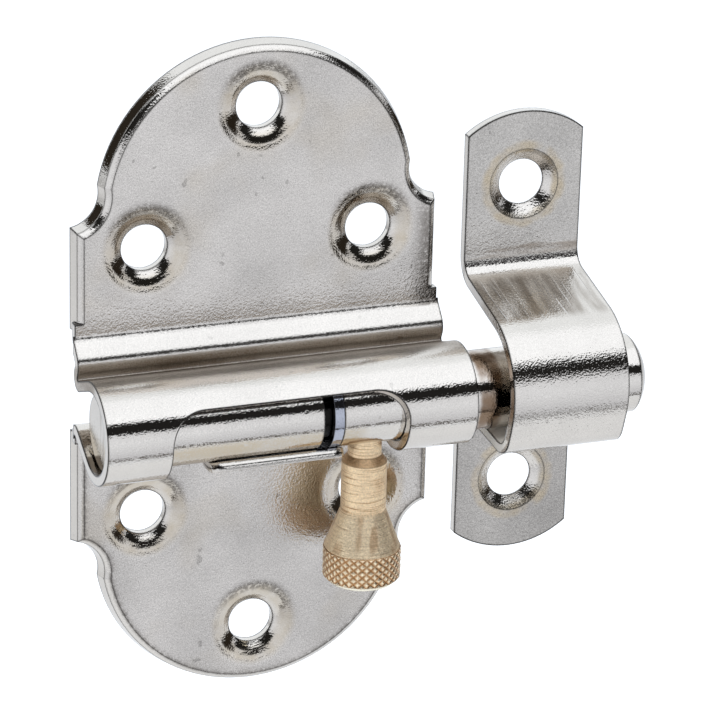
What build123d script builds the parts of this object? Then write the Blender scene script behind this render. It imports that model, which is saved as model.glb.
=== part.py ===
"""Barrel bolt for a light door: a pressed plate with its own rolled barrel,
a turned bolt with a friction ring and a hanging knob, and a bent keeper.

Millimetres. X runs along the bolt towards the keeper, Y into the door, Z up.
The origin is on the door's face, in the middle of the four ear screw holes.
"""

import os
from math import acos, asin, atan2, cos, hypot, radians, sin

from build123d import *

os.makedirs("parts", exist_ok=True)

# Plate: a shallow pressed pan with two round lobes and four square ears
sheet = 1.1
pan_depth = 1.9
plate_width = 40.0
ear_half_height = 19.7
lobe_radius = 17.35
lobe_centre = 18.9
notch_radius = 3.6
notch_out = 3.25
notch_up = 1.4
wall_draft = 15.0
rim_break = 0.5

# Screw holes and the seats for their heads, as (diameter, depth) from the mouth inwards
screw_hole = 5.0
seat_depth = 0.95
plate_dish = ((9.4, 0), (8.0, 0.13), (6.6, 0.42))
keeper_seat = ((7.8, 0),)
pad_width = 0.4
ear_hole_x = 12.3
ear_hole_z = 14.9
end_hole_z = 29.3

# Bolt rod and the fits round it
bolt_dia = 8.5
bolt_back = -19.4
bolt_shoulder = 39.6
dome_height = 1.4
edge_break = 0.25
barrel_clearance = 0.10

# Barrel: where its axis runs and how far it reaches
axis_forward = 9.05
axis_z = -1.76
barrel_overhang = 0.2

# Bends between the plate and the barrel, as points on the sheet's middle line
bead_start_z = 5.74
bead_crest = (3.35, 3.64)
valley = (1.95, 0.64)
lower_bend_z = -3.16
bead_bend = 1.1
valley_bend = 0.8
plate_bend = 1.3
lower_bend = 1.2

# Knob, drawn about its own upright axis through the bolt
knob_x = 9.6
stem_dia = 3.6
stem_depth = 2.9
neck_dia = 4.84
neck_gap = 0.3
neck_slope = 0.75
neck_length = 6.2
flare_length = 4.3
head_dia = 8.1
head_height = 3.9
head_chamfer = 0.45

# Slot in the barrel: the stem draws back this far, with a little room at each end
travel = 20.8
play_left = 0.2
play_right = 1.15
slot_above = 35.0
slot_behind = 27.0
slot_corner = 3.6
notch_behind = 33.0
notch_width = 5.4
notch_start = 45.0
notch_corner = 1.0

# Friction ring and its groove
groove_left = 3.55
groove_width = 2.2
groove_depth = 0.8
ring_width = 1.05
ring_side_gap = 0.05
ring_clearance = 0.04
ring_thick = 0.62
ring_split = 1.4

# Keeper on the frame
keeper_sheet = 1.1
keeper_left = 23.4
keeper_width = 13.1
keeper_mid_z = 0.85
keeper_half = 25.15
keeper_end_radius = 10.4
keeper_hole_z = 17.0
loop_forward = 8.6
loop_z = -1.0
loop_clearance = 2.4
upper_bend_z = 8.2
upper_bend_radius = 2.6
toe = (14.05, -7.3)
toe_radius = 2.5
under_bend_z = -6.35
under_bend_radius = 1.6

# Sizes that follow from the ones above
bolt_radius = bolt_dia / 2
bore_radius = bolt_radius + barrel_clearance
mid_radius = bore_radius + sheet / 2
barrel_radius = bore_radius + sheet
plate_mid = pan_depth - sheet / 2
loop_mid = bolt_radius + loop_clearance + keeper_sheet / 2
keeper_mid = keeper_sheet / 2
stem_radius = stem_dia / 2
neck_top = axis_z - barrel_radius - neck_gap
barrel_left = -plate_width / 2 - barrel_overhang
barrel_right = plate_width / 2 + barrel_overhang
slot_left = knob_x - travel - stem_radius - play_left
slot_right = knob_x + stem_radius + play_right


def tangent_angle(centre, radius, point, side):
    """Angle on the circle where a straight line from the point touches it."""
    across = point[0] - centre[0]
    up = point[1] - centre[1]
    return atan2(up, across) - side * acos(radius / hypot(across, up))


def on_circle(centre, radius, angle):
    """Point on the circle, given as distance forward and height."""
    return (centre[0] + radius * cos(angle), centre[1] + radius * sin(angle))


def rounded_corner(before, corner, after, radius):
    """Ends and middle of the arc that rounds the corner between two straights."""
    first = (Vector(*before) - Vector(*corner)).normalized()
    second = (Vector(*after) - Vector(*corner)).normalized()
    half = acos(max(-1.0, min(1.0, first.dot(second)))) / 2
    reach = radius / sin(half) * cos(half)
    middle_way = (first + second).normalized()
    centre = Vector(*corner) + middle_way * (radius / sin(half))
    start = Vector(*corner) + first * reach
    end = Vector(*corner) + second * reach
    middle = centre - middle_way * radius
    return start, middle, end


def bent_sheet(upper, centre, radius, lower, thickness, left, right):
    """Sheet bent along straights and corners, round a circle and back again.

    upper and lower list (forward, height, bend radius), outermost point first.
    """
    top_angle = tangent_angle(centre, radius, upper[-1][:2], 1)
    bottom_angle = tangent_angle(centre, radius, lower[-1][:2], -1)
    leave_top = on_circle(centre, radius, top_angle)
    leave_bottom = on_circle(centre, radius, bottom_angle)
    front = on_circle(centre, radius, (top_angle + bottom_angle) / 2)

    def half_path(corners, last):
        here = Vector(*corners[0][:2])
        points = [corner[:2] for corner in corners] + [last]
        for index in range(1, len(corners)):
            start, middle, end = rounded_corner(
                points[index - 1], points[index], points[index + 1], corners[index][2]
            )
            Line(forward(here), forward(start))
            ThreePointArc(forward(start), forward(middle), forward(end))
            here = end
        Line(forward(here), forward(Vector(*last)))

    with BuildPart() as bent:
        with BuildSketch(Plane.YZ.offset(left)):
            with BuildLine() as path:
                half_path(upper, leave_top)
                ThreePointArc(
                    forward(Vector(*leave_top)),
                    forward(Vector(*front)),
                    forward(Vector(*leave_bottom)),
                )
                half_path(lower, leave_bottom)
            trace(path.line, line_width=thickness)
        extrude(amount=right - left)
    return bent.part


def forward(point):
    """Turn a (forward, height) pair into the sketch's (y, z)."""
    return (-point.X, point.Y)


def screw_seats(places, thickness, seat):
    """Through holes with a seat in the front, at each (x, z)."""
    outline = [
        (0, -1),
        (seat[0][0] / 2, -1),
        *[(diameter / 2, depth) for diameter, depth in seat],
        (screw_hole / 2, seat_depth),
        (screw_hole / 2, thickness + 1),
        (0, thickness + 1),
    ]
    with BuildPart() as cutters:
        for x, z in places:
            seat_plane = Plane((x, -thickness, z), x_dir=(1, 0, 0), z_dir=(0, 0, 1))
            with BuildSketch(seat_plane):
                Polygon(*outline, align=None)
            revolve(axis=Axis((x, 0, z), (0, 1, 0)))
    return cutters.part


def barrel_window(left, right, above, behind, corner):
    """Cutter square to the barrel's sheet, from the front round to the underside.

    The top edge lies above the level of the axis and the far edge behind the
    barrel's lowest line, both as angles.
    """
    axis_point = (0, -axis_forward, axis_z)
    barrel_axis = Axis(axis_point, (1, 0, 0))
    top_way = (0, -cos(radians(above)), sin(radians(above)))
    start = Plane(axis_point, x_dir=(1, 0, 0), z_dir=(0, -top_way[2], top_way[1]))
    with BuildPart() as window:
        with BuildSketch(start):
            with Locations(((left + right) / 2, mid_radius)):
                Rectangle(right - left, 3 * sheet)
        revolve(axis=barrel_axis, revolution_arc=above + 90 + behind)
        top_edges = window.edges().filter_by(Axis(axis_point, top_way))
        fillet(top_edges, corner)
    return window.part


def plate_outline(shrink):
    """Lobes and ears with a shallow bite between them, shrunk inwards all round."""
    notch_x = lobe_radius + notch_out
    notch_z = ear_half_height + notch_up
    with BuildSketch(Plane.XZ) as outline:
        Rectangle(2 * (lobe_radius - shrink), 2 * lobe_centre)
        with Locations((0, lobe_centre), (0, -lobe_centre)):
            Circle(lobe_radius - shrink)
        Rectangle(plate_width - 2 * shrink, 2 * ear_half_height)
        with Locations(*[(x, z) for x in (-notch_x, notch_x) for z in (-notch_z, notch_z)]):
            Circle(notch_radius + shrink, mode=Mode.SUBTRACT)
    return outline.sketch


ear_holes = [(x, z) for x in (-ear_hole_x, ear_hole_x) for z in (-ear_hole_z, ear_hole_z)]
plate_holes = ear_holes + [(0, end_hole_z), (0, -end_hole_z)]

band_top = bead_start_z + 0.7
band_bottom = lower_bend_z - 1.7
plate_seats = screw_seats(plate_holes, pan_depth, plate_dish)

# Plate, bead, valley, barrel and back to the plate in one run of sheet
bent_middle = bent_sheet(
    [
        (plate_mid, band_top + 1, 0),
        (plate_mid, bead_start_z, plate_bend),
        (*bead_crest, bead_bend),
        (*valley, valley_bend),
    ],
    (axis_forward, axis_z),
    mid_radius,
    [(plate_mid, band_bottom - 1, 0), (plate_mid, lower_bend_z, lower_bend)],
    sheet,
    barrel_left,
    barrel_right,
)

slot_windows = [barrel_window(slot_left, slot_right, slot_above, slot_behind, slot_corner)]
for notch_left in (slot_left, slot_right - notch_width):
    notch_right = notch_left + notch_width
    slot_windows.append(
        barrel_window(notch_left, notch_right, -notch_start, notch_behind, notch_corner)
    )

# The plate and its barrel are one pressed sheet
with BuildPart() as base_plate:
    extrude(plate_outline(0), amount=pan_depth, taper=wall_draft)
    front_rim = base_plate.faces().sort_by(Axis.Y)[0].edges()
    chamfer(front_rim, rim_break)
    extrude(plate_outline(sheet), amount=pan_depth - sheet, taper=wall_draft, mode=Mode.SUBTRACT)
    with BuildSketch(Plane.XZ):
        with Locations(*plate_holes):
            Circle(plate_dish[0][0] / 2 + pad_width)
    extrude(amount=pan_depth - sheet / 2)
    add(plate_seats, mode=Mode.SUBTRACT)
    # the middle of the pan gives way to the bent part
    with Locations((0, -pan_depth / 2, (band_top + band_bottom) / 2)):
        Box(plate_width + 2, pan_depth + 2, band_top - band_bottom, mode=Mode.SUBTRACT)
    add(bent_middle)
    # the plate's sides stop short of the barrel's ends
    side_x = plate_width / 2 + 1
    with Locations((-side_x, -pan_depth / 2, 0), (side_x, -pan_depth / 2, 0)):
        Box(2, pan_depth, plate_width, mode=Mode.SUBTRACT)
    # slot for the knob's stem, a little deeper at each end, where the knob hangs down
    for window in slot_windows:
        add(window, mode=Mode.SUBTRACT)
base_plate.part.label = "base_plate"

# Bolt rod, turned with a domed tip and a ring groove, then drilled for the knob's stem
with BuildPart() as bolt:
    bolt_axis = Plane((0, -axis_forward, axis_z), x_dir=(1, 0, 0), z_dir=(0, -1, 0))
    edge_radius = bolt_radius - edge_break
    dome_radius = (edge_radius**2 + dome_height**2) / (2 * dome_height)
    dome_half = asin(edge_radius / dome_radius) / 2
    dome_middle = (
        bolt_shoulder + dome_height - dome_radius * (1 - cos(dome_half)),
        dome_radius * sin(dome_half),
    )
    with BuildSketch(bolt_axis):
        with BuildLine():
            Polyline(
                (bolt_shoulder, edge_radius),
                (bolt_shoulder - edge_break, bolt_radius),
                (groove_left + groove_width, bolt_radius),
                (groove_left + groove_width, bolt_radius - groove_depth),
                (groove_left, bolt_radius - groove_depth),
                (groove_left, bolt_radius),
                (bolt_back + edge_break, bolt_radius),
                (bolt_back, edge_radius),
                (bolt_back, 0),
                (bolt_shoulder + dome_height, 0),
            )
            ThreePointArc((bolt_shoulder + dome_height, 0), dome_middle, (bolt_shoulder, edge_radius))
        make_face()
    revolve(axis=Axis((0, -axis_forward, axis_z), (1, 0, 0)))
    socket_top = axis_z - bolt_radius + stem_depth
    with BuildSketch(Plane.XY.offset(axis_z - bolt_radius - 1)):
        with Locations((knob_x, -axis_forward)):
            Circle(stem_radius)
    extrude(amount=stem_depth + 1, mode=Mode.SUBTRACT)
bolt.part.label = "bolt"

# Split friction ring, sitting against the right side of its groove
with BuildPart() as spring_ring:
    ring_outer = bore_radius - ring_clearance
    ring_right = groove_left + groove_width - ring_side_gap
    with BuildSketch(Plane.YZ.offset(ring_right - ring_width)):
        with Locations((-axis_forward, axis_z)):
            Circle(ring_outer)
            Circle(ring_outer - ring_thick, mode=Mode.SUBTRACT)
        with Locations((-axis_forward + ring_outer, axis_z)):
            Rectangle(2 * ring_thick + 2, ring_split, mode=Mode.SUBTRACT)
    extrude(amount=ring_width)
spring_ring.part.label = "spring_ring"

# Knob, turned in one piece with the stem that fixes it in the bolt
with BuildPart() as knob:
    neck_end = neck_top - neck_length
    head_top = neck_end - flare_length
    head_end = head_top - head_height
    profile = [
        (0, socket_top),
        (stem_radius, socket_top),
        (stem_radius, neck_top),
        (neck_dia / 2, neck_top - neck_slope),
        (neck_dia / 2, neck_end),
        (head_dia / 2, head_top),
        (head_dia / 2, head_end + head_chamfer),
        (head_dia / 2 - head_chamfer, head_end),
        (0, head_end),
    ]
    with BuildSketch(Plane((knob_x, -axis_forward, 0), x_dir=(1, 0, 0), z_dir=(0, -1, 0))):
        Polygon(*profile, align=None)
    revolve(axis=Axis((knob_x, -axis_forward, 0), (0, 0, 1)))
knob.part.label = "knob"

# Keeper: one strip bent into a loop, with a rounded tab above and below
keeper_top = keeper_mid_z + keeper_half
keeper_bottom = keeper_mid_z - keeper_half
keeper_right = keeper_left + keeper_width
keeper_x = (keeper_left + keeper_right) / 2
keeper_holes = [(keeper_x, keeper_mid_z + side * keeper_hole_z) for side in (-1, 1)]
keeper_seats = screw_seats(keeper_holes, keeper_sheet, keeper_seat)
bent_strip = bent_sheet(
    [(keeper_mid, keeper_top, 0), (keeper_mid, upper_bend_z, upper_bend_radius)],
    (loop_forward, loop_z),
    loop_mid,
    [
        (keeper_mid, keeper_bottom, 0),
        (keeper_mid, under_bend_z, under_bend_radius),
        (*toe, toe_radius),
    ],
    keeper_sheet,
    keeper_left,
    keeper_right,
)

with BuildPart() as keeper:
    add(bent_strip)
    # both tab ends follow one arc
    with BuildSketch(Plane.XZ.offset(-1)):
        with Locations((keeper_x, keeper_mid_z)):
            Rectangle(keeper_width + 4, 2 * keeper_half + 4)
        with Locations((keeper_x, keeper_mid_z)):
            Rectangle(keeper_width + 4, 2 * (keeper_half - keeper_end_radius), mode=Mode.SUBTRACT)
        with Locations(
            (keeper_x, keeper_top - keeper_end_radius),
            (keeper_x, keeper_bottom + keeper_end_radius),
        ):
            Circle(keeper_end_radius, mode=Mode.SUBTRACT)
    extrude(amount=keeper_sheet + 2, mode=Mode.SUBTRACT)
    add(keeper_seats, mode=Mode.SUBTRACT)
keeper.part.label = "keeper"

for piece in (base_plate, bolt, spring_ring, knob, keeper):
    export_step(piece.part, f"parts/{piece.part.label}.step")
    box = piece.part.bounding_box()
    print(piece.part.label, len(piece.part.solids()), box.min, box.max)
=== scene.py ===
import math
from types import SimpleNamespace

import bpy
from mathutils import Matrix, Vector


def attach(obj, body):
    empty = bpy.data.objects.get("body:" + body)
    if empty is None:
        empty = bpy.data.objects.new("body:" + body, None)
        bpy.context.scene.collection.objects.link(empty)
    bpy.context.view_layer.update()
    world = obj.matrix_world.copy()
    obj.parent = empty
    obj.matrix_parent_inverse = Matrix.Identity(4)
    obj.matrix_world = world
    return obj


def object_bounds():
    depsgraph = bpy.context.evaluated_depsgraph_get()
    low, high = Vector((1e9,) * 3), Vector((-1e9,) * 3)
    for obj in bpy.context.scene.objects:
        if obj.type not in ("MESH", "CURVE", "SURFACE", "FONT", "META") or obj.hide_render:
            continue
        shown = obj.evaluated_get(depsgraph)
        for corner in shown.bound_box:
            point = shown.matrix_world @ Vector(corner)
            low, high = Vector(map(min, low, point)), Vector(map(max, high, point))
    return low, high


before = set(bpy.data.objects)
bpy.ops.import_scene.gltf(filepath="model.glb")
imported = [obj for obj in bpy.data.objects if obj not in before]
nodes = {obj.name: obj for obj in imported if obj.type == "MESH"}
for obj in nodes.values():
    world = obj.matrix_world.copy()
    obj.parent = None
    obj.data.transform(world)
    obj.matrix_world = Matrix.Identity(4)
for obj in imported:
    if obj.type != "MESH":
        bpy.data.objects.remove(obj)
cadBox = [list(corner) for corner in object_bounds()]
mm = 0.001
print("frame loaded")


# Small helpers for node trees

def calc(tree, operation, *terms):  # a Math node on numbers and sockets
    node = tree.nodes.new("ShaderNodeMath")
    node.operation = operation
    for place, term in zip(node.inputs, terms):
        if isinstance(term, (int, float)):
            place.default_value = term
        else:
            tree.links.new(term, place)
    return node.outputs[0]


def plus(tree, base, share, amount):  # base + share * amount
    return calc(tree, "MULTIPLY_ADD", share, amount, base)


def product(tree, *terms):
    result = terms[0]
    for term in terms[1:]:
        result = calc(tree, "MULTIPLY", result, term)
    return result


def fade(tree, value, low, high):  # 0 at low, 1 at high, smooth between
    node = tree.nodes.new("ShaderNodeMapRange")
    node.interpolation_type = "SMOOTHSTEP"
    node.inputs["From Min"].default_value = low
    node.inputs["From Max"].default_value = high
    tree.links.new(value, node.inputs["Value"])
    return node.outputs["Result"]


def within(tree, value, low, high, soft):  # 1 between low and high
    rise = fade(tree, value, low - soft, low + soft)
    return product(tree, rise, fade(tree, value, high + soft, high - soft))


def mixColour(tree, share, first, second, way="MIX"):
    node = tree.nodes.new("ShaderNodeMix")
    node.data_type = "RGBA"
    node.blend_type = way
    for name, term in (("Factor", share), ("A", first), ("B", second)):
        if isinstance(term, (int, float, tuple)):
            node.inputs[name].default_value = term
        else:
            tree.links.new(term, node.inputs[name])
    return node.outputs["Result"]


def mixShader(tree, share, first, second):
    node = tree.nodes.new("ShaderNodeMixShader")
    for place, term in zip(node.inputs, (share, first, second)):
        tree.links.new(term, place)
    return node.outputs[0]


# Camera, stage and light

cameraView = {
    "azimuth": 20.81,
    "elevation": 21.67,
    "roll": 1.57,
    "distance": 0.4171,
    "aim": (0.01224, 0.0, -0.00074),
    "lens": 195.0,
    "sensor": 36.0,
    "clipStart": 0.01,
}


def placeCamera(view):
    azimuth, elevation, roll = (math.radians(view[k]) for k in ("azimuth", "elevation", "roll"))
    look = Vector((
        math.sin(azimuth) * math.cos(elevation),
        math.cos(azimuth) * math.cos(elevation),
        -math.sin(elevation),
    ))
    level = Vector((math.cos(azimuth), -math.sin(azimuth), 0))
    upright = level.cross(look)
    right = level * math.cos(roll) + upright * math.sin(roll)
    up = upright * math.cos(roll) - level * math.sin(roll)
    data = bpy.data.cameras.new("camera")
    data.lens = view["lens"]
    data.sensor_width = view["sensor"]
    data.clip_start = view["clipStart"]
    camera = bpy.data.objects.new("camera", data)
    bpy.context.collection.objects.link(camera)
    turn = Matrix((right, up, -look)).transposed().to_4x4()
    place = Vector(view["aim"]) - look * view["distance"]
    camera.matrix_world = Matrix.Translation(place) @ turn
    bpy.context.scene.camera = camera


stageLook = {
    "floorDrop": 0.115,  # below the plate's lowest point
    "floorSize": 4.0,
    "floorFront": -0.12,  # the pale table ends here, towards the camera
    "floorColour": (0.80, 0.85, 0.92, 1),
    "floorGlow": 0.5,
    "mirrorGlow": 0.15,
}


def buildFloor(look):
    low = cadBox[0][2] - look["floorDrop"]
    bpy.ops.object.select_all(action="DESELECT")
    middle = look["floorFront"] + look["floorSize"] / 2
    bpy.ops.mesh.primitive_plane_add(size=look["floorSize"], location=(0, middle, low))
    floor = bpy.context.active_object
    floor.name = "floor"
    mat = bpy.data.materials.new("paleFloor")
    mat.use_nodes = True
    tree = mat.node_tree
    tree.nodes.clear()
    out = tree.nodes.new("ShaderNodeOutputMaterial")
    plain = tree.nodes.new("ShaderNodeBsdfDiffuse")
    plain.inputs["Color"].default_value = look["floorColour"]
    glow = tree.nodes.new("ShaderNodeEmission")
    path = tree.nodes.new("ShaderNodeLightPath").outputs
    seen = calc(tree, "MAXIMUM", path["Is Camera Ray"], path["Is Transmission Ray"])
    level = product(tree, seen, look["floorGlow"])
    mirrored = product(tree, path["Is Glossy Ray"], look["mirrorGlow"])
    tree.links.new(calc(tree, "MAXIMUM", level, mirrored), glow.inputs["Strength"])
    joined = tree.nodes.new("ShaderNodeAddShader")
    tree.links.new(plain.outputs[0], joined.inputs[0])
    tree.links.new(glow.outputs[0], joined.inputs[1])
    tree.links.new(joined.outputs[0], out.inputs["Surface"])
    floor.data.materials.append(mat)


tentLook = {  # what the metal mirrors: a white tent with a dark gap in front
    "ambient": 0.5,
    "white": (1, 1, 1, 1),
    "front": [  # height of the direction, -1 to 1, and the colour there
        (-1.0, (0.93, 0.99, 1.08, 1)),
        (-0.70, (0.93, 0.99, 1.08, 1)),
        (-0.69, (0.10, 0.09, 0.08, 1)),
        (-0.645, (0.10, 0.09, 0.08, 1)),
        (-0.635, (0.75, 0.79, 0.87, 1)),
        (-0.37, (0.91, 0.96, 1.05, 1)),
        (-0.10, (1.03, 1.09, 1.19, 1)),
        (0.22, (0.94, 0.99, 1.08, 1)),
        (0.25, (0.02, 0.02, 0.02, 1)),
        (0.585, (0.02, 0.02, 0.02, 1)),
        (0.625, (1.40, 1.49, 1.62, 1)),
    ],
    "back": (1.14, 1.22, 1.31, 1),
    "frontEdge": (0.15, -0.05),  # the back's colour ends, the front's is full
    "dark": (0.03, 0.025, 0.02, 1),
    # a dark doorway at the back, to the left, each edge from its outside to its inside
    "doorLeft": (-2.4, -2.1),
    "doorRight": (-0.70, -0.80),
    "doorLow": (-0.06, 0.0),
    "doorTop": (0.79, 0.73),
    "leastBack": 0.001,
    # a dark strip at the right
    "stripSide": (0.60, 0.72),
    "stripLow": (-0.26, -0.18),
    "stripTop": (0.20, 0.10),
}


def addRamp(tree, value, stops):
    ramp = tree.nodes.new("ShaderNodeValToRGB")
    tree.links.new(value, ramp.inputs["Fac"])
    elements = ramp.color_ramp.elements
    elements.remove(elements[-1])
    elements[0].position = stops[0][0]
    elements[0].color = stops[0][1]
    for at, colour in stops[1:]:
        elements.new(at).color = colour
    return ramp.outputs["Color"]


def addBackground(tree, colour, strength=1.0):
    node = tree.nodes.new("ShaderNodeBackground")
    node.inputs["Strength"].default_value = strength
    if isinstance(colour, tuple):
        node.inputs["Color"].default_value = colour
    else:
        tree.links.new(colour, node.inputs["Color"])
    return node.outputs[0]


def buildTent(look):
    world = bpy.data.worlds.new("tent")
    bpy.context.scene.world = world
    world.use_nodes = True
    tree = world.node_tree
    tree.nodes.clear()
    out = tree.nodes.new("ShaderNodeOutputWorld")
    way = tree.nodes.new("ShaderNodeTexCoord")
    parts = tree.nodes.new("ShaderNodeSeparateXYZ")
    tree.links.new(way.outputs["Generated"], parts.inputs[0])
    across, back, up = parts.outputs
    stops = [((height + 1) / 2, colour) for height, colour in look["front"]]
    front = addRamp(tree, plus(tree, 0.5, up, 0.5), stops)
    around = mixColour(tree, fade(tree, back, *look["frontEdge"]), look["back"], front)
    bearing = calc(tree, "DIVIDE", across, calc(tree, "MAXIMUM", back, look["leastBack"]))
    darkParts = (
        ((bearing, "doorLeft"), (bearing, "doorRight"), (up, "doorLow"), (up, "doorTop")),
        ((across, "stripSide"), (up, "stripLow"), (up, "stripTop")),
    )
    for edges in darkParts:
        mask = product(tree, *[fade(tree, value, *look[edge]) for value, edge in edges])
        around = mixColour(tree, mask, around, look["dark"])
    mirrored = addBackground(tree, around)
    plain = addBackground(tree, look["white"], look["ambient"])
    backdrop = addBackground(tree, look["white"])
    path = tree.nodes.new("ShaderNodeLightPath").outputs
    lit = mixShader(tree, path["Is Glossy Ray"], plain, mirrored)
    shown = mixShader(tree, path["Is Camera Ray"], lit, backdrop)
    tree.links.new(shown, out.inputs["Surface"])


lampLook = [  # name, place, aim, size, watts
    ("lampAbove", (-0.25, -0.15, 0.75), (0, 0, 0), 0.6, 5.0),
    ("lampFront", (0.45, -0.75, 0.35), (0, 0, 0), 0.5, 2.0),
]


def placeLamps(lamps):
    for name, place, aim, size, watts in lamps:
        data = bpy.data.lights.new(name, "AREA")
        data.shape = "SQUARE"
        data.size = size
        data.energy = watts
        lamp = bpy.data.objects.new(name, data)
        bpy.context.collection.objects.link(lamp)
        lamp.location = place
        lamp.rotation_euler = (Vector(aim) - Vector(place)).to_track_quat("-Z", "Y").to_euler()
        lamp.visible_glossy = False


placeCamera(cameraView)
buildFloor(stageLook)
buildTent(tentLook)
placeLamps(lampLook)
print("camera, floor and light placed")


# Node groups that the finishes share

def startGroup(name, inputs, outputs):
    group = bpy.data.node_groups.new(name, "ShaderNodeTree")
    for way, sockets in (("INPUT", inputs), ("OUTPUT", outputs)):
        for socket, kind in sockets:
            socketType = "NodeSocket" + kind
            group.interface.new_socket(name=socket, in_out=way, socket_type=socketType)
    given = group.nodes.new("NodeGroupInput").outputs
    result = group.nodes.new("NodeGroupOutput").inputs
    return group, given, result


def useGroup(tree, group, **values):
    node = tree.nodes.new("ShaderNodeGroup")
    node.node_tree = group
    for name, value in values.items():
        if isinstance(value, (int, float, tuple)):
            node.inputs[name].default_value = value
        else:
            tree.links.new(value, node.inputs[name])
    return node.outputs


def addNoise(tree, vector, scale, detail=2.0, stretch=None):
    if stretch:
        pull = tree.nodes.new("ShaderNodeMapping")
        pull.inputs["Scale"].default_value = stretch
        tree.links.new(vector, pull.inputs["Vector"])
        vector = pull.outputs[0]
    noise = tree.nodes.new("ShaderNodeTexNoise")
    noise.inputs["Detail"].default_value = detail
    tree.links.new(vector, noise.inputs["Vector"])
    if isinstance(scale, (int, float)):
        noise.inputs["Scale"].default_value = scale
    else:
        tree.links.new(scale, noise.inputs["Scale"])
    return noise.outputs["Fac"]


def spots(tree, vector, scale, span, detail=1.0, stretch=None):  # 1 where the noise is high
    return fade(tree, addNoise(tree, vector, scale, detail, stretch), *span)


grainLook = {
    "detail": 1.0,
    "dust": 1.7,  # scales of dust and coarse, as shares of the dimples' scale
    "coarse": 0.3,
    "dustShare": 1.8,
    "coarseShare": 0.35,
    "pits": {"scale": 900.0, "span": (0.73, 0.78)},
    "cloud": {"scale": 130.0, "detail": 3.0},
}


def makeGrain(look):  # the tumbled surface: fine dimples, and where it is lighter and darker
    group, given, result = startGroup(
        "tumbledGrain",
        [("Vector", "Vector"), ("Scale", "Float"), ("Pits", "Float")],
        [("Height", "Float"), ("Tone", "Float")],
    )
    place, scale = given["Vector"], given["Scale"]
    fine = addNoise(group, place, scale, look["detail"])
    dust = addNoise(group, place, product(group, scale, look["dust"]), look["detail"])
    coarse = addNoise(group, place, product(group, scale, look["coarse"]), look["detail"])
    pits = product(group, spots(group, place, **look["pits"]), given["Pits"])
    height = plus(group, fine, coarse, look["coarseShare"])
    group.links.new(calc(group, "SUBTRACT", height, pits), result["Height"])
    cloud = addNoise(group, place, **look["cloud"])
    speck = plus(group, cloud, calc(group, "SUBTRACT", dust, 0.5), look["dustShare"])
    group.links.new(calc(group, "SUBTRACT", speck, pits), result["Tone"])
    return group


edgeLook = {
    "samples": 8,
    "line": (0.996, 0.972),  # cosine between the rounded and the flat normal
}


def makeEdge(look):  # rounds the shading over an edge, and marks where a thin dark line of painted shade goes along it
    group, given, result = startGroup(
        "edgeLine", [("Radius", "Float")], [("Normal", "Vector"), ("Line", "Float")]
    )
    bevel = group.nodes.new("ShaderNodeBevel")
    bevel.samples = look["samples"]
    group.links.new(given["Radius"], bevel.inputs["Radius"])
    flat = group.nodes.new("ShaderNodeNewGeometry")
    turn = group.nodes.new("ShaderNodeVectorMath")
    turn.operation = "DOT_PRODUCT"
    group.links.new(bevel.outputs["Normal"], turn.inputs[0])
    group.links.new(flat.outputs["Normal"], turn.inputs[1])
    group.links.new(bevel.outputs["Normal"], result["Normal"])
    group.links.new(fade(group, turn.outputs["Value"], *look["line"]), result["Line"])
    return group


def makeSeats():  # how far a point is from the nearest screw hole, seen from the front
    group, given, result = startGroup(
        "seatDistance",
        [(name, "Vector") for name in ("Vector", "Centre", "First", "Second")],
        [("Distance", "Float")],
    )

    def vectorMath(operation, first, second=None):
        node = group.nodes.new("ShaderNodeVectorMath")
        node.operation = operation
        group.links.new(first, node.inputs[0])
        if isinstance(second, tuple):
            node.inputs[1].default_value = second
        elif second is not None:
            group.links.new(second, node.inputs[1])
        return node.outputs["Value" if operation == "DISTANCE" else "Vector"]

    away = vectorMath("SUBTRACT", given["Vector"], given["Centre"])
    corner = vectorMath("MULTIPLY", vectorMath("ABSOLUTE", away), (1, 0, 1))
    near = vectorMath("DISTANCE", corner, given["First"])
    other = vectorMath("DISTANCE", corner, given["Second"])
    group.links.new(calc(group, "MINIMUM", near, other), result["Distance"])
    return group


grain, edgeLine, seatDistance = makeGrain(grainLook), makeEdge(edgeLook), makeSeats()


# What the finishes have in common

barrel = {"forward": 9.05 * mm, "height": -1.76 * mm, "inner": 4.35 * mm, "outer": 5.45 * mm}
boltAxis = (-barrel["forward"], barrel["height"])  # y and z
knobAxis = (9.6 * mm, -barrel["forward"])  # x and y


def startMetal(name, look):
    mat = bpy.data.materials.new(name)
    mat.use_nodes = True
    tree = mat.node_tree
    tree.nodes["Principled BSDF"].inputs["Metallic"].default_value = 1.0
    place = tree.nodes.new("ShaderNodeTexCoord").outputs["Object"]
    parts = tree.nodes.new("ShaderNodeSeparateXYZ")
    tree.links.new(place, parts.inputs[0])
    across, back, up = parts.outputs
    grainOut = useGroup(tree, grain, Vector=place, Scale=look["grainScale"], Pits=look["pits"])
    at = SimpleNamespace(
        place=place, across=across, back=back, up=up,
        grain=grainOut["Height"], tone=grainOut["Tone"],
    )
    return mat, tree, at


def axisDistance(tree, first, second, axis):
    away = [calc(tree, "SUBTRACT", value, middle) for value, middle in zip((first, second), axis)]
    squares = [product(tree, side, side) for side in away]
    return calc(tree, "SQRT", calc(tree, "ADD", *squares))


def paint(tree, colour, target, *masks):  # the target's colour where all masks are 1
    return mixColour(tree, product(tree, *masks), colour, target)


def toned(tree, colour, tone, amount):  # lighter and darker by the grain's tone
    share = plus(tree, 1.0, calc(tree, "SUBTRACT", tone, 0.5), amount)
    grey = tree.nodes.new("ShaderNodeCombineXYZ")
    for place in grey.inputs:
        tree.links.new(share, place)
    return mixColour(tree, 1.0, colour, grey.outputs[0], "MULTIPLY")


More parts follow.
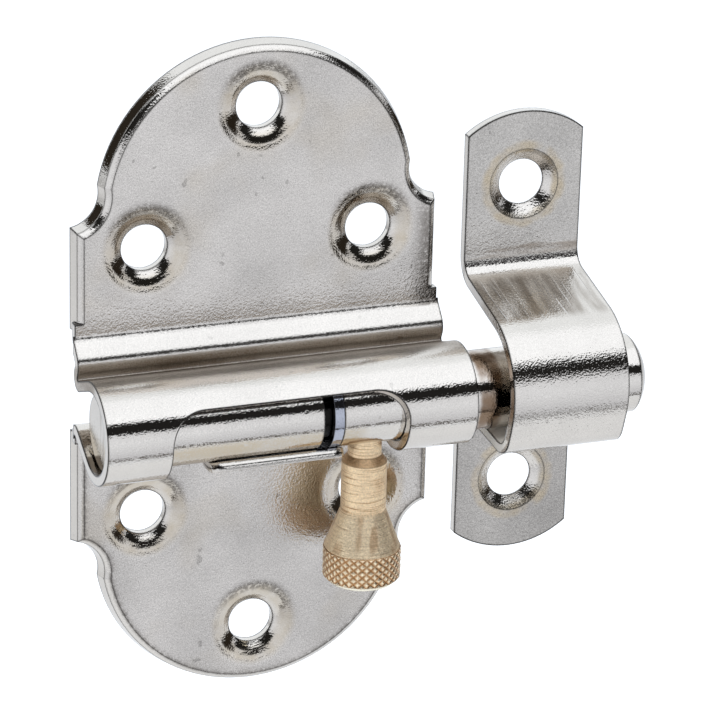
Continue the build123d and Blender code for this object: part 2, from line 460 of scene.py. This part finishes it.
def roughFace(tree, look, face):  # the polish's roughness, and the flat face's where face is 1
    return plus(tree, look["roughness"], face, look["faceRoughness"] - look["roughness"])


def finishMetal(tree, look, colour, height, roughness=None, radius=None):
    shader = tree.nodes["Principled BSDF"]
    edgeOut = useGroup(tree, edgeLine, Radius=look["edge"] if radius is None else radius)
    # painted shade: a thin dark line along every edge, in lineColour
    paintedLight = product(tree, edgeOut["Line"], look["line"])
    tree.links.new(mixColour(tree, paintedLight, colour, look["lineColour"]), shader.inputs["Base Color"])
    if roughness is None:
        shader.inputs["Roughness"].default_value = look["roughness"]
    else:
        tree.links.new(roughness, shader.inputs["Roughness"])
    bump = tree.nodes.new("ShaderNodeBump")
    bump.inputs["Strength"].default_value = 1.0
    bump.inputs["Distance"].default_value = look["grainDepth"]
    tree.links.new(height, bump.inputs["Height"])
    tree.links.new(edgeOut["Normal"], bump.inputs["Normal"])
    tree.links.new(bump.outputs["Normal"], shader.inputs["Normal"])


nickelLook = {
    "colour": (0.66, 0.615, 0.56, 1),
    "tan": (0.50, 0.42, 0.31, 1),
    "grimeAndShade": (0.30, 0.25, 0.20, 1),
    "shade": (0.15, 0.13, 0.11, 1),
    "roughness": 0.035,
    "faceRoughness": 0.20,
    "grainScale": 5000.0,
    "grainDepth": 0.00003,
    "polishGrain": 0.5,
    "faceGrain": 0.6,  # more on a flat face
    "line": 1.0,
    "lineColour": (0.05, 0.045, 0.04, 1),
    "edge": 0.00031,
}


# Plate's finish. A pair is where a mask is 0 and where it is 1, three are low, high and soft

plateLook = {
    **nickelLook,
    "pits": 0.5,
    "dull": (0.595, 0.553, 0.505, 1),  # the flat face
    "boreShade": (0.10, 0.075, 0.055, 1),
    "holes": {"First": (0.0123, 0.0, 0.0149), "Second": (0.0, 0.0, 0.0293)},
    "flat": (-2.2 * mm, -1.7 * mm, 0.1 * mm),
    "faceFrom": (4.0 * mm, 4.5 * mm),  # distances from the middle of a hole
    "mattFrom": (4.2 * mm, 4.8 * mm),
    "seatMouth": (5.4 * mm, 4.8 * mm),
    "seatEdge": 0.0001,  # edges there are rounder by this
    "dish": (4.1 * mm, 5.2 * mm),
    "dishDepth": 3.0,  # soft rim of a screw seat, in steps of grainDepth
    "patches": {"scale": 95.0, "detail": 2.0, "span": (0.52, 0.72)},
    "patchShare": 0.35,
    "shadeShare": 0.8,
    "earSide": (16.6 * mm, 18.9 * mm),
    "earTop": (19.0 * mm, 15.0 * mm),
    "earLow": (2.0 * mm, 6.0 * mm),
    "earSpeckle": {"scale": 2600.0, "span": (0.15, 0.55)},
    "stainRing": (3.0 * mm, 4.6 * mm, 0.5 * mm),
    "stainScale": 700.0,
    "arcLift": 0.4 * mm,
    "arcAbove": (0.10 * mm, 0.36 * mm),
    "arcRing": (4.0 * mm, 5.0 * mm, 0.6 * mm),
    "arcSpeckle": {"scale": 2600.0, "span": (0.25, 0.60)},
    "borderWidth": 0.0014,
    "borderBelow": (-6.0 * mm, -9.0 * mm),
    "borderClear": (4.8 * mm, 5.6 * mm),
    "borderSpeckle": {"scale": 2200.0, "span": (0.22, 0.58)},
    "valleyFront": (-10.6 * mm, -8.7 * mm),
    "valleyBack": (-1.6 * mm, -2.1 * mm),
    "valleyLow": (-0.8 * mm, 0.2 * mm),
    "valleyLean": 0.45,
    "valleyTop": (2.3 * mm, 1.6 * mm),
    "valleyLighter": (0.2, 0.75),
    "valleyLighterShare": 0.4,
    "valleyRoughness": 0.22,
    "bore": (4.40 * mm, 4.36 * mm),
    "boreShadeShare": 0.85,
    "tone": 0.2,
    "faceTone": 0.35,
    "rim": (-1.75 * mm, -1.45 * mm),
    "rimLines": {"scale": 400.0, "stretch": (1, 18, 1)},
    "rimDepth": 0.35,
    "beadHeight": (2.0 * mm, 5.4 * mm, 0.4 * mm),
    "beadFront": (-2.2 * mm, -2.8 * mm),
    "beadRoughness": 0.15,
}


def plateFinish(look):
    mat, tree, at = startMetal("plateMetal", look)

    def holeDistance(lift):  # from the nearest hole, with the holes that much higher up
        centre = (0.0, 0.0, lift)
        found = useGroup(tree, seatDistance, Vector=at.place, Centre=centre, **look["holes"])
        return found["Distance"]

    distance = holeDistance(0.0)
    flat = within(tree, at.back, *look["flat"])
    face = product(tree, flat, fade(tree, distance, *look["faceFrom"]))
    colour = mixColour(tree, face, look["colour"], look["dull"])
    patches = spots(tree, at.place, **look["patches"])
    colour = paint(tree, colour, look["tan"], patches, face, look["patchShare"])
    # painted shade: the right ear turns dark towards its rim
    colour = paint(
        tree, colour, look["shade"], flat, fade(tree, at.across, *look["earSide"]),
        fade(tree, at.up, *look["earTop"]), fade(tree, at.up, *look["earLow"]),
        spots(tree, at.place, **look["earSpeckle"]), look["shadeShare"],
    )
    # tan round the holes, and painted shade in a dark arc over each
    ring = within(tree, distance, *look["stainRing"])
    colour = paint(tree, colour, look["tan"], ring, addNoise(tree, at.place, look["stainScale"]))
    nearer = calc(tree, "SUBTRACT", distance, holeDistance(look["arcLift"]))
    colour = paint(
        tree, colour, look["shade"], flat, fade(tree, nearer, *look["arcAbove"]),
        within(tree, distance, *look["arcRing"]),
        spots(tree, at.place, **look["arcSpeckle"]), look["shadeShare"],
    )
    # painted shade: grey along the lower lobe's edge
    wideEdge = useGroup(tree, edgeLine, Radius=look["borderWidth"])
    colour = paint(
        tree, colour, look["shade"], flat, wideEdge["Line"],
        fade(tree, at.up, *look["borderBelow"]), fade(tree, distance, *look["borderClear"]),
        spots(tree, at.place, **look["borderSpeckle"]), look["shadeShare"],
    )
    # painted shade in the valley behind the barrel, and painted shade inside the barrel
    leaning = calc(tree, "ADD", at.up, product(tree, at.back, look["valleyLean"]))
    valley = product(
        tree, fade(tree, at.back, *look["valleyFront"]), fade(tree, at.back, *look["valleyBack"]),
        fade(tree, at.up, *look["valleyLow"]), fade(tree, leaning, *look["valleyTop"]),
    )
    lighterSpots = fade(tree, at.tone, *look["valleyLighter"])
    valleyShadeShare = plus(tree, 1.0, lighterSpots, -look["valleyLighterShare"])
    colour = paint(tree, colour, look["grimeAndShade"], valley, valleyShadeShare)
    inside = fade(tree, axisDistance(tree, at.back, at.up, boltAxis), *look["bore"])
    colour = paint(tree, colour, look["boreShade"], inside, look["boreShadeShare"])
    colour = toned(tree, colour, at.tone, plus(tree, look["tone"], face, look["faceTone"]))
    # dimples, fine lines along the rim from the press, and the soft rims of the seats
    dimples = product(tree, at.grain, plus(tree, look["polishGrain"], face, look["faceGrain"]))
    lines = addNoise(tree, at.place, **look["rimLines"])
    lines = product(tree, fade(tree, at.back, *look["rim"]), lines)
    height = plus(tree, dimples, lines, look["rimDepth"])
    height = plus(tree, height, fade(tree, distance, *look["dish"]), look["dishDepth"])
    matt = product(tree, flat, fade(tree, distance, *look["mattFrom"]))
    bead = within(tree, at.up, *look["beadHeight"])
    bead = product(tree, bead, fade(tree, at.back, *look["beadFront"]))
    rough = plus(tree, roughFace(tree, look, matt), valley, look["valleyRoughness"])
    rough = plus(tree, rough, bead, look["beadRoughness"])
    mouth = fade(tree, distance, *look["seatMouth"])
    radius = plus(tree, look["edge"], mouth, look["seatEdge"])
    finishMetal(tree, look, colour, height, rough, radius)
    return mat


# Tongue's finish

tongueLook = {
    **nickelLook,
    "pits": 0.3,
    "line": 0.0,
    "edge": 0.0005,
    "cutEdgeShade": (4.88 * mm, 5.04 * mm, 0.05 * mm),  # painted shade: a dark line along the sheared edge
    "cutEdgeShadeSpeckle": (0.0, 0.4),
    "bore": (4.44 * mm, 4.38 * mm),
    "tone": 0.3,
}


def tongueFinish(look):
    mat, tree, at = startMetal("tongueMetal", look)
    radius = axisDistance(tree, at.back, at.up, boltAxis)
    cutEdgeShade = within(tree, radius, *look["cutEdgeShade"])
    speckle = fade(tree, at.tone, *look["cutEdgeShadeSpeckle"])
    colour = paint(tree, look["colour"], look["lineColour"], cutEdgeShade, speckle)
    # painted shade on the tongue's inside, under the bolt
    colour = paint(tree, colour, look["lineColour"], fade(tree, radius, *look["bore"]))
    colour = toned(tree, colour, at.tone, look["tone"])
    finishMetal(tree, look, colour, product(tree, at.grain, look["polishGrain"]))
    return mat


# Bolt's finish

rodLook = {
    **nickelLook,
    "pits": 0.4,
    "lowBelow": (-2.2 * mm, -3.3 * mm),
    "lowLeft": (9.0 * mm, 7.0 * mm),
    "lowSpeckle": (-0.1, 0.7),
    "neck": (20.8 * mm, 23.6 * mm, 0.5 * mm),
    "neckScale": 420.0,
    "neckSpan": (0.1, 0.6),
    "rust": (0.22, 0.15, 0.10, 1),
    "groove": (3.5 * mm, 5.8 * mm, 0.03 * mm),
    "grooveRadius": (4.24 * mm, 4.18 * mm),
    "black": (0.012, 0.011, 0.01, 1),
    "end": (-19.2 * mm, -19.35 * mm),
    "streaks": {"scale": 500.0, "detail": 2.0, "stretch": (1, 1.5, 0.12), "span": (0.5, 0.62)},
    "streakShare": 0.75,
    "tone": 0.25,
}


def rodFinish(look):
    mat, tree, at = startMetal("rodMetal", look)
    # tan along the underside, left of the knob
    colour = paint(
        tree, look["colour"], look["tan"], fade(tree, at.up, *look["lowBelow"]),
        fade(tree, at.across, *look["lowLeft"]), fade(tree, at.tone, *look["lowSpeckle"]),
    )
    # brown where it leaves the barrel, painted shade in black in the ring's groove, streaks on its
    # plain end
    neck = within(tree, at.across, *look["neck"])
    neck = product(tree, neck, addNoise(tree, at.place, look["neckScale"]))
    colour = paint(tree, colour, look["rust"], fade(tree, neck, *look["neckSpan"]))
    deep = fade(tree, axisDistance(tree, at.back, at.up, boltAxis), *look["grooveRadius"])
    groove = within(tree, at.across, *look["groove"])
    colour = paint(tree, colour, look["black"], groove, deep)
    end = fade(tree, at.across, *look["end"])
    streaks = spots(tree, at.place, **look["streaks"])
    colour = paint(tree, colour, look["grimeAndShade"], end, streaks, look["streakShare"])
    colour = toned(tree, colour, at.tone, look["tone"])
    finishMetal(tree, look, colour, product(tree, at.grain, look["polishGrain"]))
    return mat


# Keeper's finish

keeperLook = {
    **nickelLook,
    "pits": 0.4,
    "dull": (0.505, 0.472, 0.430, 1),  # the tabs
    "polishGrain": 0.95,
    "roughness": 0.07,
    "middle": (0.02995, 0.0, 0.00085),
    "hole": (0.0, 0.0, 0.017),  # from the middle, up and down
    "tab": (-1.4 * mm, -0.8 * mm, 0.1 * mm),
    "lowerTab": (0.0, -4.0 * mm),
    "lowerShare": 0.15,
    "stainRing": (3.2 * mm, 5.0 * mm, 0.6 * mm),
    "stainScale": 500.0,
    "stainSpan": (0.2, 0.7),
    "slopeBack": (-2.2 * mm, -4.0 * mm),
    "slopeFront": (-11.6 * mm, -10.0 * mm),
    "slopeLow": (5.0 * mm, 5.6 * mm),
    "slopeColour": (0.25, 0.21, 0.17, 1),
    "slopeShare": 0.05,
    "brushed": {"scale": 700.0, "detail": 3.0, "stretch": (1, 0.16, 0.16), "span": (0.30, 0.66)},
    "brushedShare": 0.85,
    "brightSide": (31.0 * mm, 35.5 * mm),
    "brightShare": 0.3,
    "smudge": (9.3 * mm, 12.5 * mm, 0.8 * mm),
    "smears": {"scale": 420.0, "detail": 2.0, "stretch": (0.22, 1, 1.6), "span": (0.5, 0.66)},
    "smudgeShare": 0.8,
    "tone": 0.25,
    "tabTone": 0.3,
    "loopAxis": (-8.6 * mm, -1.0 * mm),  # y and z
    "paintedLightRadius": (7.9 * mm, 7.7 * mm),
    "paintedLightBelow": (-5.2 * mm, -5.8 * mm),
    "paintedLightFront": (-4.0 * mm, -5.0 * mm),
    "paintedLightColour": (0.95, 0.93, 0.88, 1),
    "paintedLightRoughness": 0.6,
    "scratches": {"scale": 900.0, "stretch": (3.2, 0.12, 0.12), "span": (0.6, 0.72)},
    "scratchScale": 160.0,
    "scratchColour": (0.8, 0.78, 0.76, 1),
    "scratchDepth": 0.6,
}


def keeperFinish(look):
    mat, tree, at = startMetal("keeperMetal", look)
    distance = useGroup(
        tree, seatDistance, Vector=at.place, Centre=look["middle"],
        First=look["hole"], Second=look["hole"],
    )["Distance"]
    tab = within(tree, at.back, *look["tab"])
    colour = mixColour(tree, tab, look["colour"], look["dull"])
    # painted shade: the tabs a little darker below the middle
    lower = fade(tree, at.up, *look["lowerTab"])
    colour = paint(tree, colour, look["shade"], tab, lower, look["lowerShare"])
    ring = within(tree, distance, *look["stainRing"])
    ring = product(tree, ring, addNoise(tree, at.place, look["stainScale"]))
    colour = paint(tree, colour, look["tan"], fade(tree, ring, *look["stainSpan"]))
    # painted reflection: the slope above the loop darkened brown in brushed streaks, less so
    # towards the right
    slope = product(
        tree, fade(tree, at.back, *look["slopeBack"]), fade(tree, at.back, *look["slopeFront"]),
        fade(tree, at.up, *look["slopeLow"]),
    )
    bright = fade(tree, at.across, *look["brightSide"])
    share = plus(tree, look["slopeShare"], bright, -look["brightShare"])
    share = plus(tree, share, spots(tree, at.place, **look["brushed"]), look["brushedShare"])
    colour = paint(tree, colour, look["slopeColour"], slope, share)
    smudge = within(tree, at.up, *look["smudge"])
    smears = spots(tree, at.place, **look["smears"])
    colour = paint(tree, colour, look["grimeAndShade"], smudge, tab, smears, look["smudgeShare"])
    colour = toned(tree, colour, at.tone, plus(tree, look["tone"], tab, look["tabTone"]))
    # painted highlight: pale and dull inside the loop, under the bolt, where white light is seen
    inLoop = fade(tree, axisDistance(tree, at.back, at.up, look["loopAxis"]), *look["paintedLightRadius"])
    paintedLight = product(
        tree, fade(tree, at.up, *look["paintedLightBelow"]), inLoop, fade(tree, at.back, *look["paintedLightFront"])
    )
    colour = paint(tree, colour, look["paintedLightColour"], paintedLight)
    scratches = product(tree, slope, spots(tree, at.place, **look["scratches"]))
    some = addNoise(tree, at.place, look["scratchScale"])
    colour = paint(tree, colour, look["scratchColour"], scratches, some)
    dimples = product(tree, at.grain, plus(tree, look["polishGrain"], tab, look["faceGrain"]))
    height = plus(tree, dimples, scratches, -look["scratchDepth"])
    rough = plus(tree, roughFace(tree, look, tab), paintedLight, look["paintedLightRoughness"])
    metallic = tree.nodes["Principled BSDF"].inputs["Metallic"]
    tree.links.new(calc(tree, "SUBTRACT", 1.0, paintedLight), metallic)
    finishMetal(tree, look, colour, height, rough)
    return mat


# Ring's finish

ringLook = {
    **nickelLook,
    "pits": 0.2,
    "colour": (0.42, 0.43, 0.48, 1),
    "grainDepth": 0.000008,
    "line": 0.5,
    "edge": 0.00012,
    "tone": 0.2,
}


def ringFinish(look):
    mat, tree, at = startMetal("ringMetal", look)
    finishMetal(tree, look, toned(tree, look["colour"], at.tone, look["tone"]), at.grain)
    return mat


# Finishes of the knob and of its knurl

brassLook = {
    "pits": 0.2,
    "colour": (0.90, 0.69, 0.44, 1),
    "brown": (0.40, 0.20, 0.08, 1),
    "pale": (0.95, 0.87, 0.70, 1),
    "light": (0.95, 0.80, 0.56, 1),
    "roughness": 0.42,
    "grainScale": 3000.0,
    "grainDepth": 0.00006,
    "line": 0.7,
    "lineColour": (0.16, 0.09, 0.04, 1),
    "edge": 0.00016,
    "rings": {"scale": 1000.0, "detail": 3.0, "stretch": (0.25, 0.25, 9.0)},  # from turning
    "ringSpan": (0.50, 0.76),
    "ringDepth": 0.7,
    "stains": {"scale": 260.0, "detail": 3.0, "span": (0.5, 0.8)},
    "stainShare": 0.35,
    "collar": (-8.3 * mm, -7.4 * mm, 0.15 * mm),
    "collarShare": 0.55,
    "flare": (-18.0 * mm, -13.9 * mm, 0.3 * mm),
    "flareShare": 0.4,
    "stripes": {"scale": 620.0, "stretch": (1, 1, 0.03), "span": (0.52, 0.64)},
    "stripeShare": 0.5,
    "endRim": (-21.38 * mm, -21.52 * mm),
    "tone": 0.35,
}
knurlLook = {
    **brassLook,
    "line": 0.0,
    "edge": 0.00002,
    "roughness": 0.30,
    "teeth": (4.07 * mm, 4.18 * mm),  # from the grooves to the points, about the knob's axis
    "tone": 0.5,
}


def brassFinish(look):
    mat, tree, at = startMetal("knobBrass", look)
    rings = addNoise(tree, at.place, **look["rings"])
    colour = paint(tree, look["colour"], look["brown"], fade(tree, rings, *look["ringSpan"]))
    stains = spots(tree, at.place, **look["stains"])
    colour = paint(tree, colour, look["brown"], stains, look["stainShare"])
    collar = within(tree, at.up, *look["collar"])
    colour = paint(tree, colour, look["brown"], collar, look["collarShare"])
    # painted reflection: the flare lighter, with dark upright stripes
    flare = within(tree, at.up, *look["flare"])
    colour = paint(tree, colour, look["light"], flare, look["flareShare"])
    stripes = spots(tree, at.place, **look["stripes"])
    colour = paint(tree, colour, look["brown"], flare, stripes, look["stripeShare"])
    colour = paint(tree, colour, look["pale"], fade(tree, at.up, *look["endRim"]))
    colour = toned(tree, colour, at.tone, look["tone"])
    finishMetal(tree, look, colour, plus(tree, at.grain, rings, look["ringDepth"]))
    return mat


def knurlFinish(look):
    mat, tree, at = startMetal("knurlBrass", look)
    # painted shade in the grooves and painted highlight on the points: brown below, light at the
    # tips
    teeth = fade(tree, axisDistance(tree, at.across, at.back, knobAxis), *look["teeth"])
    colour = mixColour(tree, teeth, look["brown"], look["light"])
    finishMetal(tree, look, toned(tree, colour, at.tone, look["tone"]), at.grain)
    return mat


def dress(node, mat):
    for place in nodes[node].material_slots:
        place.material = mat


tongueMetal = tongueFinish(tongueLook)
dress("base_plate", plateFinish(plateLook))
dress("bolt", rodFinish(rodLook))
dress("spring_ring", ringFinish(ringLook))
dress("knob", brassFinish(brassLook))
knurlBrass = knurlFinish(knurlLook)
dress("keeper", keeperFinish(keeperLook))
print("finishes made")


# Tongue between the two notches, under the bolt

tongue = {
    "left": -8.0 * mm,
    "right": 6.6 * mm,
    "back": 27.0,  # degrees behind the barrel's lowest line, where the solid sheet ends
    "front": 32.0,  # degrees in front of it
    "steps": 6,
    "cornerRadius": 1.3 * mm,
    "cornerSteps": 8,
    "punchSize": 3,  # in outer radii of the barrel
    "near": 0.001 * mm,
    "lip": 0.12 * mm,  # how far its cut edge is rounded
    "lipSteps": 3,
    "lipAngle": 50.0,  # sharper edges than this are rounded
    "smoothAngle": 35.0,
}


def pickEdges(piece, wanted):  # in edit mode, selects the edges whose two ends pass the test
    bpy.ops.mesh.select_mode(type="EDGE")
    bpy.ops.mesh.select_all(action="DESELECT")
    bpy.ops.object.mode_set(mode="OBJECT")
    verts = piece.data.vertices
    for edge in piece.data.edges:
        first, second = (verts[i].co for i in edge.vertices)
        edge.select = wanted(first, second)
    bpy.ops.object.mode_set(mode="EDIT")


def buildPunch(look, tube, centre, width):  # block with two rounded corners that shapes the tip
    deep = look["punchSize"] * tube["outer"]
    bpy.ops.object.select_all(action="DESELECT")
    bpy.ops.mesh.primitive_cube_add(size=1, scale=(width, deep, deep))
    punch = bpy.context.active_object
    bpy.ops.object.transform_apply(location=False, rotation=False, scale=True)
    bpy.ops.object.mode_set(mode="EDIT")

    def tipCorner(first, second):  # an upright edge at the front
        atTip = all(abs(end.y + deep / 2) < look["near"] for end in (first, second))
        return atTip and abs(first.x - second.x) < look["near"]

    pickEdges(punch, tipCorner)
    bpy.ops.mesh.bevel(offset=look["cornerRadius"], segments=look["cornerSteps"], affect="EDGES")
    bpy.ops.object.mode_set(mode="OBJECT")
    turn = Matrix.Rotation(-math.radians(look["front"]), 4, "X")
    shift = Matrix.Translation(centre + Vector((look["left"] + width / 2, 0, 0)))
    punch.matrix_world = shift @ turn @ Matrix.Translation((0, deep / 2, -deep / 2))
    bpy.ops.object.transform_apply(location=True, rotation=True, scale=True)
    return punch


def roundLip(piece, look):  # the cut edge is rounded by the press
    lip = piece.modifiers.new("lip", "BEVEL")
    lip.limit_method = "ANGLE"
    lip.angle_limit = math.radians(look["lipAngle"])
    lip.width = look["lip"]
    lip.segments = look["lipSteps"]
    lip.use_clamp_overlap = False
    bpy.ops.object.modifier_apply(modifier=lip.name)


def buildTongue(look, tube, mat):
    centre = Vector((0, -tube["forward"], tube["height"]))
    width = look["right"] - look["left"]
    wall = tube["outer"] - tube["inner"]
    middle = (tube["outer"] + tube["inner"]) / 2
    back = math.radians(look["back"])
    sweep = math.radians(look["back"] + look["front"])
    way = Vector((0, math.sin(back), -math.cos(back)))  # from the bolt's axis to the sheet
    bpy.ops.object.select_all(action="DESELECT")
    bpy.ops.mesh.primitive_plane_add(size=1, rotation=(math.pi / 2 + back, 0, 0))
    piece = bpy.context.active_object
    piece.name = "slot_tongue"
    piece.scale = (width, wall, 1)
    piece.location = centre + way * middle + Vector((look["left"] + width / 2, 0, 0))
    bpy.ops.object.transform_apply(location=True, rotation=True, scale=True)
    bpy.ops.object.mode_set(mode="EDIT")
    bpy.ops.mesh.select_all(action="SELECT")
    bpy.ops.mesh.spin(steps=look["steps"], angle=sweep, center=centre, axis=(1, 0, 0))
    bpy.ops.mesh.select_all(action="SELECT")
    bpy.ops.mesh.normals_make_consistent(inside=False)
    bpy.ops.object.mode_set(mode="OBJECT")
    punch = buildPunch(look, tube, centre, width)
    bpy.ops.object.select_all(action="DESELECT")
    piece.select_set(True)
    bpy.context.view_layer.objects.active = piece
    cut = piece.modifiers.new("roundTip", "BOOLEAN")
    cut.operation = "INTERSECT"
    cut.object = punch
    bpy.ops.object.modifier_apply(modifier=cut.name)
    bpy.data.objects.remove(punch)
    roundLip(piece, look)
    bpy.ops.object.shade_smooth_by_angle(angle=math.radians(look["smoothAngle"]))
    piece.data.materials.append(mat)
    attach(piece, "plate")


buildTongue(tongue, barrel, tongueMetal)
print("tongue made")


# Diamond knurl round the knob's head

knurl = {
    "radius": 4.09 * mm,  # of the grooves' corners, just outside the head
    "raised": 0.13 * mm,
    "top": -18.10 * mm,
    "bottom": -21.42 * mm,
    "around": 28,
    "rows": 4,
    "near": 0.01 * mm,
}


def buildKnurl(look, axis, mat):
    pitch = (look["top"] - look["bottom"]) / look["rows"]
    bpy.ops.object.select_all(action="DESELECT")
    bpy.ops.mesh.primitive_cylinder_add(
        vertices=look["around"], radius=look["radius"], depth=pitch, end_fill_type="NOTHING",
        location=(*axis, look["bottom"] + pitch / 2),
    )
    piece = bpy.context.active_object
    piece.name = "knurl"
    bpy.ops.object.transform_apply(location=True, rotation=True, scale=True)
    stack = piece.modifiers.new("rows", "ARRAY")
    stack.count = look["rows"]
    stack.use_relative_offset = False
    stack.use_constant_offset = True
    stack.constant_offset_displace = (0, 0, pitch)
    stack.use_merge_vertices = True
    stack.merge_threshold = look["near"]
    bpy.ops.object.modifier_apply(modifier=stack.name)
    bpy.ops.object.mode_set(mode="EDIT")
    bpy.ops.mesh.select_mode(type="FACE")
    bpy.ops.mesh.select_all(action="SELECT")
    bpy.ops.mesh.poke()

    def ofSquare(first, second):  # a side of a poked square that isn't on the top or bottom rim
        nearest = min(math.dist(end.xy, axis) for end in (first, second))
        low, high = sorted((first.z, second.z))
        onRim = high < look["bottom"] + look["near"] or low > look["top"] - look["near"]
        return nearest > look["radius"] - look["near"] and not onRim

    # without those sides the squares turn into diamonds
    pickEdges(piece, ofSquare)
    bpy.ops.mesh.dissolve_edges(use_verts=False)
    bpy.ops.mesh.select_mode(type="FACE")
    bpy.ops.mesh.select_all(action="SELECT")
    bpy.ops.mesh.poke(offset=look["raised"])
    bpy.ops.mesh.select_all(action="SELECT")
    bpy.ops.mesh.fill_holes(sides=0)
    bpy.ops.mesh.select_all(action="SELECT")
    bpy.ops.mesh.normals_make_consistent(inside=False)
    bpy.ops.object.mode_set(mode="OBJECT")
    piece.data.materials.append(mat)
    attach(piece, "bolt")


buildKnurl(knurl, knobAxis, knurlBrass)
print("knurl made")

bpy.context.scene.view_settings.view_transform = "Standard"
